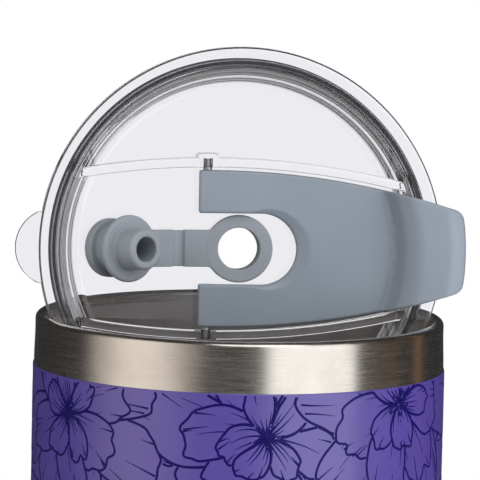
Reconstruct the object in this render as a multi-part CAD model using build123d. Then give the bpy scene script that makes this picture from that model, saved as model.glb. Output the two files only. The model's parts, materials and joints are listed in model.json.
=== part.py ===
from build123d import *

import os
from math import cos, radians, sin, tan

# Insulated steel tumbler with its clear press-in lid stood on edge in the mouth.
# Millimetres, +Z up along the tumbler's axis, origin at the centre of its underside.
# The lid faces -Y, its finger lever points to +X and its pull tab to -X.

# ---- driving dimensions: tumbler ----
HEIGHT = 185.0            # rim to table
MOUTH_R = 42.5            # inside radius of the mouth
RIM_R = 45.0              # outside radius of the rolled lip
BODY_R = 45.2             # steel outer shell, straight part
SHEET = 0.6               # thickness of both steel walls
COAT = 0.25               # powder coat
BAND_H = 11.0             # bare steel band under the lip
STRAIGHT_Z = 100.0        # below this the side starts to taper
TAPER = 6.0               # half angle of the lower cone, degrees
BLEND_R = 300.0           # radius that joins the straight side to the cone
FOOT_R = 3.5              # corner radius at the foot
LINER_FLOOR_Z = 9.0       # inside floor of the liner
LINER_CORNER_R = 9.0
RECESS_R = 31.8           # round recess in the foot
RECESS_H = 3.0
COVER_GAP = 0.3           # seam round the base cover

# ---- driving dimensions: lid, in its own frame (U right, V up the lid, W out of it) ----
LID_RISE = 14.45          # lid centre above the rim
LID_LEAN = 5.0            # degrees the upright lid leans back
FLANGE_R = 44.7
FLANGE_T = 2.0
DISH_TOP_R = 40.0         # dish wall radius at the flange face
DISH_MID_R = 38.3
DISH_MID_W = -5.3
DISH_LOW_R = 36.9
FLOOR_W = -10.4           # front of the dish floor
FLOOR_T = 2.1
SKIRT_R = 41.6
LEAD_IN = 1.3             # chamfer round the skirt's end
GROOVE_R = 40.7           # bottom of the gasket groove
GROOVE_TOP_W = -5.0
GROOVE_LOW_W = -8.6
GASKET_R = 42.2           # over the sealing fins
RELIEF_IN_R = 38.5        # ring-shaped relief moulded into the back of the wall
RELIEF_OUT_R = 40.3
RELIEF_H = 3.0

RIB_R = 175.0             # both ribs and the lever's sides curve with this radius
RIB_CENTRE_U = -5.0
RIB_HALF = 18.0           # half the channel's width at its widest
RIB_T = 2.15
RIB_TOP_W = -3.0
BUMP_W = 4.8              # thickening of each rib round its pin
BUMP_PROUD = 1.1
TAB_TIP_U = -49.8
TAB_HALF = 7.9
TAB_END_R = 8.7

# ---- driving dimensions: flip lever ----
LEVER_HALF = 17.37
LEVER_TOP_W = -3.8
LEVER_T = 2.2
LEVER_TIP_U = 49.7
LEVER_END_U = -9.1        # square ends of the two arms
LEVER_LIFT_W = 2.7        # top face where it passes over the flange
LEVER_TIP_W = 2.0
KNUCKLE_R = 1.9
HINGE_U = -7.2
HINGE_W = LEVER_TOP_W - KNUCKLE_R
PIN_R = 1.0
PIN_CLEARANCE = 0.05
SLOT_HALF = 7.85
SLOT_END_U = 4.8          # centre of the slot's round end
DRINK_U = 28.5            # centre of the drink opening
DRINK_SIZE = (7.0, 14.0)
DRINK_CORNER_R = 2.5
SEAL_CLEARANCE = 0.4
VENT_R = 0.8
VENT_U = 19.0

# ---- driving dimensions: silicone straw seal ----
BORE_R = 4.65
RING_R = 7.5
RING_TOP_W = -5.7
RING_T = 1.5
WAIST_R = 5.6             # hole in the lid that the ring's waist fills
BOSS_R = 7.35
UNDER_R = 7.0             # flange under the lid
STRAP_HALF = 4.1
STRAP_T = 1.5
WEB_T = 0.5
WEB_HALF = 1.45           # half length of the thin living hinge
WEB_GAP = 0.15
FOLD_U = -13.4            # living hinge
FOLD_W = RING_TOP_W + 0.1
PARK_ANGLE = 35.0         # how far the parked plug is folded out of the lid's plane
PLUG_R = 7.4
PLUG_T = 1.6
PLUG_WAIST_R = 5.0
KNOB_R = 6.5
KNOB_T = 2.7
PLUG_BACK = 8.8           # from the plug's sealing face to the back of its knob
NECK_R = 4.5
NECK_STRAIGHT = 1.5
NECK_TIP_R = 3.75         # tapered, so that the neck's far side swings clear of the hole's edge
NECK_L = 5.6
PLUG_BORE_R = 2.75
PLUG_BORE_L = 11.5

SIN_T = sin(radians(TAPER))
COS_T = cos(radians(TAPER))
TAN_T = tan(radians(TAPER))
LID_PLANE = Plane(
    origin=(0, 0, HEIGHT + LID_RISE),
    x_dir=(1, 0, 0),
    z_dir=(0, -cos(radians(LID_LEAN)), sin(radians(LID_LEAN))),
)


# ---- helpers ----
def turned(points, close=True):
    """Revolve a closed outline of (radius, height) points about Z."""
    return revolve(make_face(Plane.XZ * Polyline(*points, close=close)), Axis.Z)


def disc(radius, low, high, centre=(0, 0)):
    """Round plate or rod between two heights."""
    return Pos(centre[0], centre[1], low) * Cylinder(
        radius, high - low, align=(Align.CENTER, Align.CENTER, Align.MIN)
    )


def block(low, high):
    """Box between two corners."""
    size = [b - a for a, b in zip(low, high)]
    return Pos(*low) * Box(*size, align=(Align.MIN, Align.MIN, Align.MIN))


def vessel(inset, floor_z, corner_r, top):
    """Solid inside one surface of the tumbler's wall: inset from the shell's outside."""
    cone_r = BODY_R - BLEND_R + (BLEND_R - inset) * COS_T
    cone_z = STRAIGHT_Z - (BLEND_R - inset) * SIN_T
    foot_z = floor_z + corner_r * (1 - SIN_T)
    foot_r = cone_r - (cone_z - foot_z) * TAN_T
    corner = (foot_r - corner_r * COS_T, floor_z + corner_r)
    half = radians(-45 - TAPER / 2)
    half_t = radians(-TAPER / 2)
    bend = (BODY_R - BLEND_R, STRAIGHT_Z)
    straight_r = BODY_R - inset
    low = (0, floor_z)
    outline = [
        Line(low, (corner[0], floor_z)),
        ThreePointArc(
            (corner[0], floor_z),
            (corner[0] + corner_r * cos(half), corner[1] + corner_r * sin(half)),
            (foot_r, foot_z),
        ),
        Line((foot_r, foot_z), (cone_r, cone_z)),
        ThreePointArc(
            (cone_r, cone_z),
            (bend[0] + (BLEND_R - inset) * cos(half_t), bend[1] + (BLEND_R - inset) * sin(half_t)),
            (straight_r, STRAIGHT_Z),
        ),
        Polyline((straight_r, STRAIGHT_Z), *top, (0, top[-1][1]), low),
    ]
    return revolve(make_face(Plane.XZ * Curve(outline)), Axis.Z)


def place_on_lid(part):
    """Move a piece from the lid's own frame to its place."""
    return LID_PLANE.location * part


def rod_along_v(radius, u, w, low_v, high_v):
    """Round rod along the lid's V axis."""
    rod = Cylinder(radius, high_v - low_v, align=(Align.CENTER, Align.CENTER, Align.MIN))
    return Pos(u, low_v, w) * Rot(-90, 0, 0) * rod


def curved_strip(half_width, thickness, side):
    """Flat face between two concentric arcs, one rib's plan; side is +1 or -1."""
    centre = Pos(RIB_CENTRE_U, side * (half_width - RIB_R))
    return centre * (Circle(RIB_R + thickness) - Circle(RIB_R))


# ---- tumbler ----
BAND_Z = HEIGHT - BAND_H
LIP_R = (RIM_R - MOUTH_R) / 2
LIP_Z = HEIGHT - LIP_R
LIP_CENTRE_R = (RIM_R + MOUTH_R) / 2
WELD_Z = HEIGHT - 4.0
LINER_INSET = BODY_R - MOUTH_R


def inner_liner():
    """Drawn steel cup whose lip is rolled over to meet the outer shell."""
    outside = vessel(
        LINER_INSET - SHEET, LINER_FLOOR_Z - SHEET, LINER_CORNER_R + SHEET,
        [(MOUTH_R + SHEET, LIP_Z)],
    )
    inside = vessel(LINER_INSET, LINER_FLOOR_Z, LINER_CORNER_R, [(MOUTH_R, LIP_Z)])
    lip_section = Pos(LIP_CENTRE_R, LIP_Z) * (Circle(LIP_R) - Circle(LIP_R - SHEET))
    lip_section &= Pos(LIP_CENTRE_R, LIP_Z + LIP_R / 2) * Rectangle(3 * LIP_R, LIP_R)
    skirt = Pos(RIM_R - SHEET / 2, (LIP_Z + WELD_Z) / 2) * Rectangle(SHEET, LIP_Z - WELD_Z)
    lip = revolve(Plane.XZ * lip_section, Axis.Z) + revolve(Plane.XZ * skirt, Axis.Z)
    return outside - inside + lip


def outer_shell():
    """Outer steel wall, welded to the lip above and turned up round the recess below."""
    neck = [(BODY_R, BAND_Z), (RIM_R, WELD_Z)]
    outside = vessel(0, 0, FOOT_R, neck)
    inside = vessel(SHEET, SHEET, FOOT_R - SHEET, [(r - SHEET, z) for r, z in neck])
    recess_wall = disc(RECESS_R + SHEET, 0, RECESS_H) - disc(RECESS_R, 0, RECESS_H)
    return outside - inside - disc(RECESS_R, 0, SHEET) + recess_wall


def powder_coat():
    """Coloured coat on the outer shell, from the bare band to just above the foot."""
    outside = vessel(-COAT, -COAT, FOOT_R + COAT, [(BODY_R + COAT, BAND_Z)])
    inside = vessel(0, 0, FOOT_R, [(BODY_R, BAND_Z)])
    bare_foot_z = 1.0
    return outside - inside - block((-60, -60, -1), (60, 60, bare_foot_z))


def vacuum_bottom():
    """Disc that closes the vacuum space, with a dimple and the hole it is pumped through."""
    low = RECESS_H - SHEET
    dimple = low + 1.2
    hole_r = 0.8
    return turned([
        (RECESS_R, low), (8.0, low), (6.0, dimple), (hole_r, dimple),
        (hole_r, dimple + SHEET), (5.7, dimple + SHEET), (7.7, RECESS_H), (RECESS_R, RECESS_H),
    ])


def seal_pellet():
    """Solder pellet that closes the pumping hole."""
    top = RECESS_H - SHEET + 1.2
    pellet_r = 4.5
    return turned([(0, top - 2.0), (pellet_r - 1, top - 2.0), (pellet_r, top - 1.2), (pellet_r, top), (0, top)])


def getter():
    """Small gas-absorbing tablet held in the vacuum space."""
    return disc(5.0, RECESS_H, RECESS_H + 1.6, centre=(18.0, 0))


def base_cover():
    """Polished steel cap pressed into the recess, flush with the foot."""
    cover_r = RECESS_R - COVER_GAP
    cover = disc(cover_r, 0, RECESS_H - SHEET) - disc(cover_r - SHEET, SHEET, RECESS_H)
    return cover


# ---- lid ----
def lid_disc():
    """Flange, dish, skirt and floor as one turned section."""
    back_w = FLOOR_W - FLOOR_T
    rim = 0.8
    corner = 2.0
    section = [
        (0, FLOOR_W), (DISH_LOW_R - corner, FLOOR_W), (DISH_LOW_R - 0.6, FLOOR_W + 0.6),
        (DISH_LOW_R, FLOOR_W + corner), (DISH_MID_R, DISH_MID_W), (DISH_TOP_R, 0),
        (FLANGE_R - rim, 0), (FLANGE_R - 0.23, -0.23), (FLANGE_R, -rim),
        (FLANGE_R, -FLANGE_T + 0.4), (FLANGE_R - 0.4, -FLANGE_T), (SKIRT_R, -FLANGE_T),
        (SKIRT_R, GROOVE_TOP_W), (GROOVE_R, GROOVE_TOP_W), (GROOVE_R, GROOVE_LOW_W),
        (SKIRT_R, GROOVE_LOW_W), (SKIRT_R, back_w + LEAD_IN), (SKIRT_R - LEAD_IN, back_w),
        (0, back_w),
    ]
    return turned(section)


def lid_ribs():
    """Two curved ribs on the floor that bound the lever's channel and hold its pins."""
    ribs = []
    for side in (1, -1):
        pin_v = RIB_HALF - (HINGE_U - RIB_CENTRE_U) ** 2 / (2 * RIB_R)
        plan = curved_strip(RIB_HALF, RIB_T, side) & Pos(0, side * 20) * Rectangle(80, 20)
        bump_v = side * (pin_v + (RIB_T + BUMP_PROUD) / 2)
        bump = Pos(HINGE_U, bump_v) * RectangleRounded(BUMP_W, RIB_T + BUMP_PROUD, 1.0)
        height = RIB_TOP_W - FLOOR_W + 0.5
        rib = extrude(plan, height) + extrude(bump, height)
        rib = Pos(0, 0, FLOOR_W - 0.5) * rib
        hole_low, hole_high = sorted((side * (pin_v - 1), side * (pin_v + 2.0)))
        rib -= rod_along_v(PIN_R + PIN_CLEARANCE, HINGE_U, HINGE_W, hole_low, hole_high)
        ribs.append(rib & disc(DISH_MID_R + 0.7, FLOOR_W - 1, 0))
    return ribs


def lid_body():
    """Clear moulded lid with flange, dish, ribs, pull tab, straw boss and openings."""
    tab = Pos(TAB_TIP_U + TAB_END_R, 0) * Circle(TAB_END_R)
    tab &= Pos(TAB_TIP_U, 0) * Rectangle(14, 2 * TAB_HALF)
    body = lid_disc() + Pos(0, 0, -FLANGE_T) * extrude(tab, FLANGE_T)
    for rib in lid_ribs():
        body += rib
    back_w = FLOOR_W - FLOOR_T
    past_back = back_w - 1
    body -= disc(RELIEF_OUT_R, past_back, back_w + RELIEF_H) - disc(RELIEF_IN_R, past_back, back_w + RELIEF_H)
    boss_top = RING_TOP_W - RING_T - 0.05
    body += disc(BOSS_R, FLOOR_W - 0.5, boss_top)
    body -= disc(WAIST_R, past_back, boss_top + 1)
    mouth = RectangleRounded(*DRINK_SIZE, DRINK_CORNER_R)
    body -= Pos(DRINK_U, 0, past_back) * extrude(mouth, FLOOR_T + 2)
    body -= disc(VENT_R, past_back, FLOOR_W + 1, centre=(VENT_U, 0))
    return place_on_lid(body)


def lid_gasket():
    """Silicone ring in the skirt's groove, with two sealing fins."""
    gap = 0.05
    top = GROOVE_TOP_W - gap
    low = GROOVE_LOW_W + gap
    root = GROOVE_R + gap
    body_r = SKIRT_R - 0.1
    fins = []
    for middle in (top - 0.9, low + 0.9):
        fins += [
            (body_r, middle + 0.6), (GASKET_R, middle + 0.2), (GASKET_R, middle - 0.2), (body_r, middle - 0.6),
        ]
    return place_on_lid(turned([(root, top), (body_r, top), *fins, (body_r, low), (root, low)]))


# ---- flip lever ----
def lever_plan():
    """Outline of the lever seen from the front, without its slot."""
    corner = 4.5
    sides = Pos(RIB_CENTRE_U, LEVER_HALF - RIB_R) * Circle(RIB_R)
    sides &= Pos(RIB_CENTRE_U, RIB_R - LEVER_HALF) * Circle(RIB_R)
    end_bulge = 60.0
    sides &= Pos(LEVER_TIP_U - end_bulge, 0) * Circle(end_bulge)
    sides &= Pos(HINGE_U, 0) * Rectangle(200, 60, align=(Align.MIN, Align.CENTER))
    tip_corners = sides.vertices().group_by(Axis.X)[-1]
    return fillet(tip_corners, corner)


def lever_section():
    """Half section of the sheet that the lever is cut from: flat dish part, ramp and tip."""
    flat_r = 33.0
    crest_r = 40.6
    fall_r = 47.0
    top = [
        (0, LEVER_TOP_W), (flat_r - 1.6, LEVER_TOP_W), (flat_r, LEVER_TOP_W + 0.5),
        (crest_r - 1.4, LEVER_LIFT_W - 0.8), (crest_r, LEVER_LIFT_W), (fall_r, LEVER_LIFT_W - 0.1),
        (LEVER_TIP_U - 0.6, LEVER_TIP_W), (LEVER_TIP_U + 1, LEVER_TIP_W - 0.9),
    ]
    thin = 2.0
    under_w = LEVER_TOP_W - LEVER_T
    underside = [
        (LEVER_TIP_U + 1, 0.8), (crest_r - 0.2, LEVER_LIFT_W - thin), (flat_r + 1.9, under_w + 0.4),
        (flat_r + 0.6, under_w), (0, under_w),
    ]
    return turned(top + underside)


def flip_lever():
    """U-shaped lever with two knuckles; its tip lies over the flange as a finger tab."""
    plan = lever_plan()
    lever = lever_section() & Pos(0, 0, -12) * extrude(plan, 24)
    for side in (1, -1):
        arm_low, arm_high = sorted((side * (SLOT_HALF + 0.5), side * LEVER_HALF))
        lever += rod_along_v(KNUCKLE_R, HINGE_U, HINGE_W, arm_low, arm_high)
        lever += block((LEVER_END_U, arm_low, HINGE_W), (HINGE_U + KNUCKLE_R, arm_high, LEVER_TOP_W))
    slot = Pos(SLOT_END_U, 0) * Circle(SLOT_HALF)
    slot += Pos(SLOT_END_U - 15, 0) * Rectangle(30, 2 * SLOT_HALF)
    lever -= Pos(0, 0, -12) * extrude(slot, 24)
    scoop_r = 8.8
    lever -= disc(scoop_r, LEVER_TOP_W - 1.0, 1, centre=(SLOT_END_U + 1.5, 0))
    for side in (1, -1):
        hole_low, hole_high = sorted((side * 13.0, side * 18.0))
        lever -= rod_along_v(PIN_R, HINGE_U, HINGE_W, hole_low, hole_high)
    return place_on_lid(lever)


def hinge_pin(side):
    """Steel pin pressed into one arm of the lever and turning in the rib."""
    low, high = sorted((side * 13.0, side * (RIB_HALF + 1.8)))
    return place_on_lid(rod_along_v(PIN_R, HINGE_U, HINGE_W, low, high))


def lever_seal():
    """Silicone stopper under the lever that closes the drink opening."""
    under_w = LEVER_TOP_W - LEVER_T
    stopper_size = [s - 2 * SEAL_CLEARANCE for s in DRINK_SIZE]
    stopper_low = FLOOR_W - 1.1
    stopper_plan = RectangleRounded(*stopper_size, DRINK_CORNER_R - SEAL_CLEARANCE)
    stopper = Pos(DRINK_U, 0, stopper_low) * extrude(stopper_plan, under_w - stopper_low)
    lip_w = FLOOR_W + 0.45
    lip_size = [s + 2.4 for s in DRINK_SIZE]
    lip = Pos(DRINK_U, 0, lip_w) * extrude(RectangleRounded(*lip_size, 3.6), 0.8)
    pad_size = [s + 1.6 for s in DRINK_SIZE]
    pad = Pos(DRINK_U - 0.8, 0, under_w - 1.0) * extrude(RectangleRounded(*pad_size, 3.0), 1.0)
    return place_on_lid(stopper + lip + pad)


# ---- silicone straw seal ----
def strap_half(reach):
    """Half of the strap with its share of the living hinge, pointing to +U from the fold.

    Its upper face is 0.1 under the fold axis, and reach is how far it goes.
    """
    face = RING_TOP_W - FOLD_W
    thick = block((WEB_HALF, -STRAP_HALF, face - STRAP_T), (reach, STRAP_HALF, face))
    web = block((WEB_GAP, -STRAP_HALF, face - WEB_T), (WEB_HALF + 0.01, STRAP_HALF, face))
    return thick + web


def straw_grommet():
    """Silicone ring that lines the straw hole, with its half of the strap."""
    back_w = FLOOR_W - FLOOR_T
    outer = disc(RING_R, RING_TOP_W - RING_T, RING_TOP_W)
    waist = disc(WAIST_R, back_w - 1.3, RING_TOP_W)
    under = turned([(0, back_w - 1.3), (WAIST_R, back_w - 1.3), (UNDER_R, back_w - 0.1), (0, back_w - 0.1)])
    strap = Pos(FOLD_U, 0, FOLD_W) * strap_half(-FOLD_U - RING_R + 1.0)
    ring = outer + waist + under + strap
    return place_on_lid(ring - disc(BORE_R, back_w - 5, 1))


def straw_plug():
    """Hollow silicone stopper with a grip knob, parked half folded beside the ring."""
    face = RING_TOP_W - FOLD_W
    knob_back = face - PLUG_BACK
    stopper = turned([
        (0, knob_back), (KNOB_R - 0.9, knob_back), (KNOB_R, knob_back + 0.8),
        (KNOB_R, knob_back + KNOB_T - 0.8), (KNOB_R - 0.9, knob_back + KNOB_T),
        (PLUG_WAIST_R, knob_back + KNOB_T), (PLUG_WAIST_R, face - PLUG_T), (PLUG_R - 0.4, face - PLUG_T),
        (PLUG_R, face - PLUG_T + 0.4), (PLUG_R, face - 0.4), (PLUG_R - 0.4, face), (NECK_R, face),
        (NECK_R, face + NECK_STRAIGHT), (NECK_TIP_R, face + NECK_L - 0.4),
        (NECK_TIP_R - 0.4, face + NECK_L), (0, face + NECK_L),
    ])
    stopper -= disc(PLUG_BORE_R, face + NECK_L - PLUG_BORE_L, face + NECK_L + 1)
    reach = -FOLD_U - PLUG_R + 1.0
    flat = Pos(FOLD_U, 0, 0) * stopper + Rot(0, 0, 180) * strap_half(reach)
    return place_on_lid(Pos(FOLD_U, 0, FOLD_W) * Rot(0, PARK_ANGLE, 0) * flat)


NODES = {
    "inner_liner": inner_liner(),
    "outer_shell": outer_shell(),
    "powder_coat": powder_coat(),
    "vacuum_bottom": vacuum_bottom(),
    "seal_pellet": seal_pellet(),
    "getter": getter(),
    "base_cover": base_cover(),
    "lid_body": lid_body(),
    "lid_gasket": lid_gasket(),
    "flip_lever": flip_lever(),
    "hinge_pin_upper": hinge_pin(1),
    "hinge_pin_lower": hinge_pin(-1),
    "lever_seal": lever_seal(),
    "straw_grommet": straw_grommet(),
    "straw_plug": straw_plug(),
}

os.makedirs("parts", exist_ok=True)
for name, solid in NODES.items():
    export_step(solid, f"parts/{name}.step")
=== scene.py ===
import json
import logging
import math
from dataclasses import dataclass, field
from enum import Enum

import bpy
import numpy as np
from mathutils import Matrix, Vector


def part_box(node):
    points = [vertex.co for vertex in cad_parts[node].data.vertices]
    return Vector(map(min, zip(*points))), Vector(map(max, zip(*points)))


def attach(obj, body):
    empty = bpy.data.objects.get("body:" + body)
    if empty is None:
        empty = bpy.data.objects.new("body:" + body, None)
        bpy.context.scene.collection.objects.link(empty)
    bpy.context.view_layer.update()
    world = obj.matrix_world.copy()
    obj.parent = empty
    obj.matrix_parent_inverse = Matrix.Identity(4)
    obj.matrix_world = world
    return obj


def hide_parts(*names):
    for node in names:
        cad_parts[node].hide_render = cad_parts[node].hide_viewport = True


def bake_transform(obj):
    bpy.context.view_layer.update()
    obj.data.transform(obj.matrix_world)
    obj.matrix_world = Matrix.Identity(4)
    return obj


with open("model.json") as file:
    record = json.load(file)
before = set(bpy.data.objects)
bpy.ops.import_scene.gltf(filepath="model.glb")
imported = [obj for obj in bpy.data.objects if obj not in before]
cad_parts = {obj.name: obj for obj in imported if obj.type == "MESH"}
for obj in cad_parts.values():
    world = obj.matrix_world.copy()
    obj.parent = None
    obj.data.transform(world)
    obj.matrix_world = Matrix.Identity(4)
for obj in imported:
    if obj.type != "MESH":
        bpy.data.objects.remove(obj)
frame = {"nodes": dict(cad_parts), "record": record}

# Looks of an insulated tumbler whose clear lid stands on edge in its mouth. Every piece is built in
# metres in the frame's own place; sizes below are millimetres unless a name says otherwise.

MM = 0.001
LOG = logging.getLogger("tumbler")
WORKED_SHARP_DEG = 28

Grid = tuple[np.ndarray, list[np.ndarray]]


class Body(Enum):
    """The frame's bodies that pieces ride on."""

    TUMBLER = "tumbler"
    LID = "lid"
    LEVER = "lever"
    PLUG = "plug"


class Cut(Enum):
    """What a tool does to the piece that it meets."""

    JOIN = "UNION"
    REMOVE = "DIFFERENCE"


# ---------------------------------------------------------------- curves and surfaces


def on_circle(turn: np.ndarray) -> np.ndarray:
    """Points of a unit circle at some angles: (cos a, sin a)."""
    return np.column_stack([np.cos(turn), np.sin(turn)])


def rounded(corners: np.ndarray, steps: int = 6, support: float = 0.08) -> np.ndarray:
    """Turn an outline's corners into tangent arcs.

    Each corner is (x, y, radius). The arc starts and ends where its circle touches the two sides, at
    radius x tan(turn / 2) from the corner. A point on each side just past the arc keeps the flat
    beside it evenly shaded. The first and last points stay where they are.

    Args:
        corners: n x 3 array of corner places and radii.
        steps: divisions of one arc.
        support: distance of the extra points from the arc.

    Returns:
        m x 2 array of points.
    """
    corners = np.asarray(corners, float)
    points = [corners[:1, :2]]
    for before, here, after in zip(corners[:-2], corners[1:-1], corners[2:]):
        middle, radius = here[:2], here[2]
        into, out = before[:2] - middle, after[:2] - middle
        room = min(np.linalg.norm(into), np.linalg.norm(out))
        into, out = into / np.linalg.norm(into), out / np.linalg.norm(out)
        half_open = math.acos(np.clip(into @ out, -1, 1)) / 2
        if radius <= 0 or half_open > math.radians(89.5):
            points.append(middle[None])
            continue
        reach = min(radius / math.tan(half_open), 0.48 * room)
        radius = reach * math.tan(half_open)
        bisector = (into + out) / np.linalg.norm(into + out)
        centre = middle + bisector * (radius / math.sin(half_open))
        start, end = middle + into * reach, middle + out * reach
        first = math.atan2(*(start - centre)[::-1])
        sweep = (math.atan2(*(end - centre)[::-1]) - first + math.pi) % (2 * math.pi) - math.pi
        angle = first + sweep * np.linspace(0, 1, steps + 1)
        arc = centre + radius * on_circle(angle)
        extra = min(support, 0.02 * room)
        points.append(np.vstack([start + into * extra, arc, end + out * extra]))
    points.append(corners[-1:, :2])
    return np.vstack(points)


def closed_outline(corners: np.ndarray, steps: int = 6) -> np.ndarray:
    """Round every corner of a closed outline, by starting it at the middle of its last side."""
    corners = np.asarray(corners, float)
    middle = np.append((corners[0, :2] + corners[-1, :2]) / 2, 0)
    return rounded(np.vstack([middle, corners, middle]), steps)[:-1]


def loop_faces(rows: int, columns: int, round_rows: bool, round_columns: bool) -> np.ndarray:
    """Quads of a grid of rows x columns points, joined end to end where it closes on itself."""
    row = np.arange(rows if round_rows else rows - 1)[:, None]
    column = np.arange(columns if round_columns else columns - 1)[None]
    next_row, next_column = (row + 1) % rows, (column + 1) % columns
    corners = [
        row * columns + column, row * columns + next_column,
        next_row * columns + next_column, next_row * columns + column,
    ]
    return np.stack(np.broadcast_arrays(*corners), -1).reshape(-1, 4)


def pile_faces(rows: int, count: int) -> list[np.ndarray]:
    """Faces of a pile of outlines: its side, and a flat face at each end."""
    ends = np.vstack([np.arange(count)[::-1], (rows - 1) * count + np.arange(count)])
    return [loop_faces(rows, count, False, True), ends]


def turned(section: np.ndarray, segments: int = 192) -> Grid:
    """Carry a section round the third axis: (r cos a, r sin a, h) for a from 0 to a full turn.

    Args:
        section: points of (radius, height). If the first and last radii are 0 they become poles,
            otherwise the section is a closed loop.
        segments: divisions of the turn.

    Returns:
        Points and lists of faces.
    """
    section = np.asarray(section, float)
    has_poles = section[0, 0] < 1e-9 and section[-1, 0] < 1e-9
    ring = section[1:-1] if has_poles else section
    angle = np.linspace(0, 2 * math.pi, segments, endpoint=False)[:, None]
    points = np.stack(
        [ring[:, 0] * np.cos(angle), ring[:, 0] * np.sin(angle), ring[:, 1] + 0 * angle], -1
    ).reshape(-1, 3)
    count = len(ring)
    faces = [loop_faces(segments, count, True, not has_poles)]
    if has_poles:
        poles = [(0, 0, section[0, 1]), (0, 0, section[-1, 1])]
        points = np.vstack([points, poles])
        this = np.arange(segments) * count
        following = np.roll(this, -1)
        first = np.full(segments, len(points) - 2)
        faces.append(np.column_stack([this, following, first]))
        faces.append(np.column_stack([following + count - 1, this + count - 1, first + 1]))
    return points, faces


def stacked(outlines: np.ndarray, heights: np.ndarray) -> Grid:
    """Skin a pile of plan outlines, one at each height, and close both ends with a flat face.

    Args:
        outlines: k x n x 2 array of plans with matching points.
        heights: k heights.

    Returns:
        Points and lists of faces.
    """
    layers, count = outlines.shape[:2]
    height = np.broadcast_to(np.asarray(heights, float)[:, None, None], (layers, count, 1))
    points = np.concatenate([outlines, height], -1).reshape(-1, 3)
    return points, pile_faces(layers, count)


def rounded_box_plan(length: float, width: float, corner: float, points: int = 8) -> np.ndarray:
    """Plan of a rectangle with round corners, about its centre."""
    corner = min(corner, length / 2 - 1e-3, width / 2 - 1e-3)
    turn = np.linspace(0, math.pi / 2, points)
    quarters = []
    for index, (x, y) in enumerate(((1, 1), (-1, 1), (-1, -1), (1, -1))):
        angle = turn + index * math.pi / 2
        centre = np.array([x * (length / 2 - corner), y * (width / 2 - corner)])
        quarters.append(centre + corner * on_circle(angle))
    return np.vstack(quarters)


def pile(layers: list[tuple[float, float, float, float]], centre: tuple[float, float]) -> Grid:
    """Stack rounded rectangles; each layer is (length, width, corner radius, height)."""
    plans = np.stack([rounded_box_plan(*layer[:3]) for layer in layers]) + np.array(centre)
    return stacked(plans, np.array([layer[3] for layer in layers]))


def smooth_step(value: np.ndarray) -> np.ndarray:
    """Ease from 0 to 1: 3 t^2 - 2 t^3, with t held between 0 and 1."""
    held = np.clip(value, 0, 1)
    return held * held * (3 - 2 * held)


def facing_out(points: np.ndarray, faces: list[np.ndarray]) -> list[np.ndarray]:
    """Turn all faces round if the signed volume, a sixth of sum a . (b x c), is negative."""
    volume = 0.0
    for group in faces:
        corner = points[group]
        for index in range(1, group.shape[1] - 1):
            volume += np.einsum(
                "ij,ij->", corner[:, 0], np.cross(corner[:, index], corner[:, index + 1])
            )
    return faces if volume >= 0 else [group[:, ::-1] for group in faces]


def add_mesh(name: str, grid: Grid, sharp_angle: float = 32.0) -> bpy.types.Object:
    """Make an object from points in metres, smooth but for edges sharper than sharp_angle.

    Args:
        name: the object's name.
        grid: points and lists of faces.
        sharp_angle: degrees.

    Returns:
        The new object, in the scene.
    """
    points, faces = grid
    faces = facing_out(points - points.mean(0), faces)
    mesh = bpy.data.meshes.new(name)
    mesh.from_pydata(points.tolist(), [], [face for group in faces for face in group.tolist()])
    mesh.shade_smooth()
    mesh.set_sharp_from_angle(angle=math.radians(sharp_angle))
    mesh.update()
    piece = bpy.data.objects.new(name, mesh)
    bpy.context.scene.collection.objects.link(piece)
    return piece


def worked(piece: bpy.types.Object, tools: list[tuple[Cut, bpy.types.Object]]) -> bpy.types.Object:
    """Join or cut tools into a piece, one after the other, and remove the tools.

    Args:
        piece: closed mesh to work on.
        tools: what each tool does, and the tool.

    Returns:
        The same object with its new mesh.
    """
    for cut, tool in tools:
        modifier = piece.modifiers.new("work", "BOOLEAN")
        modifier.operation = cut.value
        modifier.solver = "MANIFOLD"
        modifier.object = tool
    bpy.context.view_layer.update()
    final = piece.evaluated_get(bpy.context.evaluated_depsgraph_get())
    mesh = bpy.data.meshes.new_from_object(final)
    piece.modifiers.clear()
    piece.data = mesh
    mesh.name = piece.name
    mesh.shade_smooth()
    mesh.set_sharp_from_angle(angle=math.radians(WORKED_SHARP_DEG))
    for _, tool in tools:
        bpy.data.objects.remove(tool)
    return piece


# ---------------------------------------------------------------- materials


def linear(hex_colour: str) -> tuple[float, float, float, float]:
    """sRGB hex to linear: c / 12.92 below 0.04045, else ((c + 0.055) / 1.055) ^ 2.4."""
    parts = [int(hex_colour[i : i + 2], 16) / 255 for i in (1, 3, 5)]
    return (*[c / 12.92 if c <= 0.04045 else ((c + 0.055) / 1.055) ** 2.4 for c in parts], 1.0)


def add_node(
    tree: bpy.types.NodeTree, kind: str, settings: dict | None = None, inputs: dict | None = None
) -> bpy.types.Node:
    """Add a shader node.

    Args:
        tree: the material's or world's node tree.
        kind: identifier of the node's type.
        settings: the node's own settings.
        inputs: socket name or number to a value, or to the output socket that it is linked to.

    Returns:
        The node.
    """
    node = tree.nodes.new(kind)
    for key, value in (settings or {}).items():
        setattr(node, key, value)
    for key, value in (inputs or {}).items():
        if isinstance(value, bpy.types.NodeSocket):
            tree.links.new(value, node.inputs[key])
        else:
            node.inputs[key].default_value = value
    return node


def mapped(
    tree: bpy.types.NodeTree, value: bpy.types.NodeSocket, source: tuple[float, float],
    target: tuple[float, float] = (0.0, 1.0), eased: bool = False,
) -> bpy.types.NodeSocket:
    """Map a value from one range to another, held at both ends, and eased there if asked."""
    return add_node(
        tree, "ShaderNodeMapRange", {"interpolation_type": "SMOOTHSTEP" if eased else "LINEAR"},
        {"Value": value, "From Min": source[0], "From Max": source[1],
         "To Min": target[0], "To Max": target[1]},
    ).outputs[0]


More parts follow.
